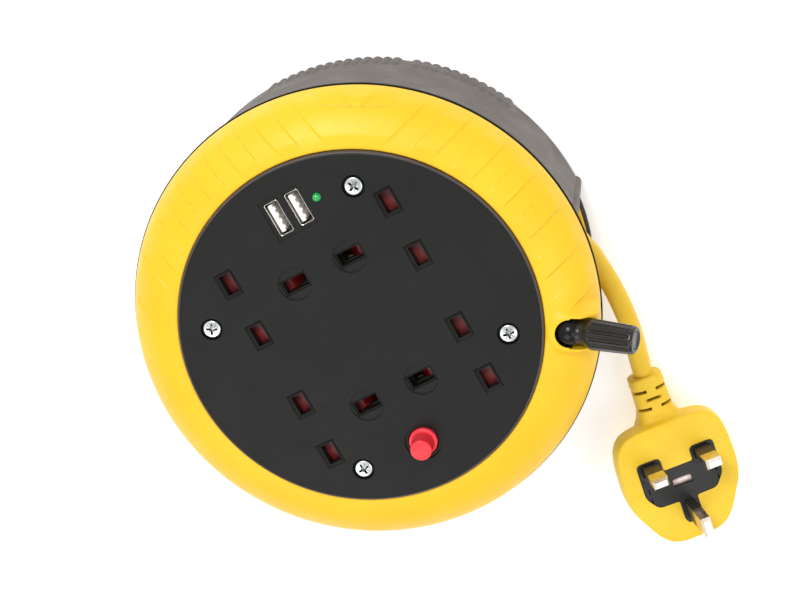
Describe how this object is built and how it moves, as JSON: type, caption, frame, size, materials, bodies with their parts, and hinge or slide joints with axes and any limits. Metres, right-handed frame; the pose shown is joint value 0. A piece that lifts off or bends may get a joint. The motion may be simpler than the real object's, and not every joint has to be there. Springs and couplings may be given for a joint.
{
  "type": "extension cord reel",
  "caption": "Cassette extension cord reel: turning drum with UK mains sockets and USB ports, fold-out winding handle, reset button, and a cable that ends in a moulded plug.",
  "frame": {"origin": "the drum axis at the surface the reel lies on", "axes": "+Z is the drum axis, out of the socket face; +X along the socket rows; +Y towards the USB ports"},
  "size_m": [0.18, 0.242, 0.0876],
  "materials": {
    "housing_grey": "fine matt texture",
    "shell_yellow": "satin",
    "drum_yellow": "satin",
    "plate_black": "satin",
    "carrier_grey": "matt",
    "shutter_red": "satin",
    "button_red": "gloss",
    "cable_yellow": "satin PVC",
    "plug_yellow": "satin PVC",
    "handle_black": "gloss",
    "washer_white": "matt",
    "foot_rubber": "matt",
    "steel": "zinc plated",
    "nickel": "bright",
    "brass": "satin",
    "pcb_green": "satin",
    "coil_buff": "matt",
    "usb_white": "satin",
    "led_green": "gloss",
    "wire_brown": "satin",
    "wire_blue": "satin",
    "wire_green": "satin",
    "ceramic": "matt",
    "sleeve_black": "satin"
  },
  "bodies": {
    "housing": {"rear_housing": "housing_grey", "rubber_feet": "foot_rubber", "spindle": "housing_grey", "spindle_screws": "steel", "thrust_washer": "washer_white", "retaining_washer": "steel", "retaining_screw": "steel", "free_cord": "cable_yellow", "plug_body": "plug_yellow", "plug_strain_relief": "plug_yellow", "plug_pin_carrier": "plate_black", "plug_fuse": "ceramic", "plug_pin_live": "nickel", "plug_pin_neutral": "nickel", "plug_pin_earth": "nickel", "plug_pin_sleeves": "sleeve_black"},
    "drum": {"front_ring": "shell_yellow", "drum_hub": "drum_yellow", "rear_flange": "drum_yellow", "hub_bush": "brass", "flange_screws": "steel", "drum_screws": "steel", "wound_cable": "cable_yellow", "cable_tail": "cable_yellow", "cord_clamp": "washer_white", "clamp_screws": "steel", "socket_plate": "plate_black", "plate_screws": "steel", "contact_carrier": "carrier_grey", "carrier_screws": "steel", "live_contacts": "brass", "neutral_contacts": "brass", "earth_contacts": "brass", "live_wires": "wire_brown", "neutral_wires": "wire_blue", "earth_wires": "wire_green", "usb_board": "pcb_green", "usb_screws": "steel", "usb_transformer": "coil_buff", "usb_shells": "nickel", "usb_tongues": "usb_white", "status_led": "led_green", "thermal_cutout": "carrier_grey", "cutout_screws": "steel", "cutout_terminals": "brass", "reset_spring": "steel", "shutter_spring_a": "steel", "shutter_spring_b": "steel", "shutter_spring_c": "steel", "shutter_spring_d": "steel", "handle_pin": "steel"},
    "button": {"reset_button": "button_red"},
    "shutter_1": {"shutter_a": "shutter_red"},
    "shutter_2": {"shutter_b": "shutter_red"},
    "shutter_3": {"shutter_c": "shutter_red"},
    "shutter_4": {"shutter_d": "shutter_red"},
    "handle": {"handle_core": "handle_black", "grip_screw": "handle_black"},
    "grip": {"handle_grip": "handle_black"}
  },
  "joints": [
    {"name": "drum_spin", "type": "hinge", "parent": "housing", "child": "drum", "pos_m": [0, 0, 0], "axis": [0, 0, 1], "continuous": true},
    {"name": "reset_push", "type": "slide", "parent": "drum", "child": "button", "axis": [0, 0, -1], "range_m": [0, 0.0025], "stiffness_N_per_m": 800, "springref_m": -0.003, "deforming": ["reset_spring"]},
    {"name": "shutter_a_slide", "type": "slide", "parent": "drum", "child": "shutter_1", "axis": [1, 0, 0], "range_m": [0, 0.0062], "stiffness_N_per_m": 60, "springref_m": -0.003, "deforming": ["shutter_spring_a"]},
    {"name": "shutter_b_slide", "type": "slide", "parent": "drum", "child": "shutter_2", "axis": [-1, 0, 0], "range_m": [0, 0.0062], "stiffness_N_per_m": 60, "springref_m": -0.003, "deforming": ["shutter_spring_b"]},
    {"name": "shutter_c_slide", "type": "slide", "parent": "drum", "child": "shutter_3", "axis": [1, 0, 0], "range_m": [0, 0.0062], "stiffness_N_per_m": 60, "springref_m": -0.003, "deforming": ["shutter_spring_c"]},
    {"name": "shutter_d_slide", "type": "slide", "parent": "drum", "child": "shutter_4", "axis": [-1, 0, 0], "range_m": [0, 0.0062], "stiffness_N_per_m": 60, "springref_m": -0.003, "deforming": ["shutter_spring_d"]},
    {"name": "handle_fold", "type": "hinge", "parent": "drum", "child": "handle", "pos_m": [0.06796, -0.03598, 0.074], "axis": [-0.4679, -0.8838, 0], "range_deg": [0, 69]},
    {"name": "grip_spin", "type": "hinge", "parent": "handle", "child": "grip", "pos_m": [0.06796, -0.03598, 0.074], "axis": [0.8251, -0.4369, 0.3584], "continuous": true}
  ]
}
